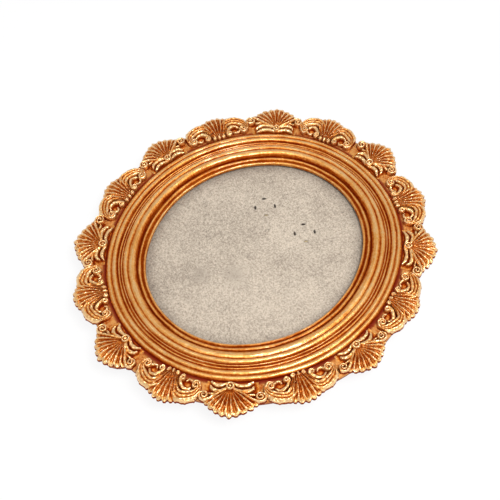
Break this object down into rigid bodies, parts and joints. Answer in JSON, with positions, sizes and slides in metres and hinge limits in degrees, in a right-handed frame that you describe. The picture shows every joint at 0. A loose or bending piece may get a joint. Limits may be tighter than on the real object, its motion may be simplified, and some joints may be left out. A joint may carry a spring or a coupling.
{
  "type": "oval picture frame",
  "caption": "Oval gilded picture frame with a scalloped border of palmettes and scrolls, clear sheet, backing board, hinged easel strut, turn buttons and hanger.",
  "frame": {"origin": "middle of the oval, at the level of the screw heads that the frame lies on", "axes": "+Z out of the front of the picture, +Y along the long axis towards its top, +X to its right"},
  "size_m": [0.1202, 0.134, 0.0116],
  "materials": {
    "gilt": "cast resin, gilded over a red ground, rubbed and satin",
    "clear_sheet": "clear thin sheet, polished",
    "greyboard": "grey pulp board, matte and fibrous",
    "plated_steel": "pressed steel, brass plated"
  },
  "bodies": {
    "frame": {"frame_moulding": "gilt", "palmette_1": "gilt", "palmette_2": "gilt", "palmette_3": "gilt", "palmette_4": "gilt", "palmette_5": "gilt", "palmette_6": "gilt", "palmette_7": "gilt", "palmette_8": "gilt", "cartouche_1": "gilt", "cartouche_2": "gilt", "cartouche_3": "gilt", "cartouche_4": "gilt", "cartouche_5": "gilt", "cartouche_6": "gilt", "cartouche_7": "gilt", "cartouche_8": "gilt", "glazing_sheet": "clear_sheet", "backing_board": "greyboard", "board_leaf": "plated_steel", "board_rivets": "plated_steel", "hinge_pin": "plated_steel", "button_screws": "plated_steel", "hanger_plate": "plated_steel", "hanger_screw": "plated_steel"},
    "easel": {"easel_strut": "greyboard", "strut_leaf": "plated_steel", "strut_rivets": "plated_steel"},
    "button_1": {"turn_button_1": "plated_steel"},
    "button_2": {"turn_button_2": "plated_steel"},
    "button_3": {"turn_button_3": "plated_steel"},
    "button_4": {"turn_button_4": "plated_steel"}
  },
  "joints": [
    {"name": "easel_hinge", "type": "hinge", "parent": "frame", "child": "easel", "pos_m": [-0.00172, 0.00884, 0.0028], "axis": [0.9816, 0.1908, 0], "range_deg": [0, 32]},
    {"name": "button_1_pivot", "type": "hinge", "parent": "frame", "child": "button_1", "pos_m": [0.0287, 0.03671, 0.0032], "axis": [0, 0, 1], "continuous": true},
    {"name": "button_2_pivot", "type": "hinge", "parent": "frame", "child": "button_2", "pos_m": [-0.0287, 0.03671, 0.0032], "axis": [0, 0, 1], "continuous": true},
    {"name": "button_3_pivot", "type": "hinge", "parent": "frame", "child": "button_3", "pos_m": [-0.0287, -0.03671, 0.0032], "axis": [0, 0, 1], "continuous": true},
    {"name": "button_4_pivot", "type": "hinge", "parent": "frame", "child": "button_4", "pos_m": [0.0287, -0.03671, 0.0032], "axis": [0, 0, 1], "continuous": true}
  ]
}
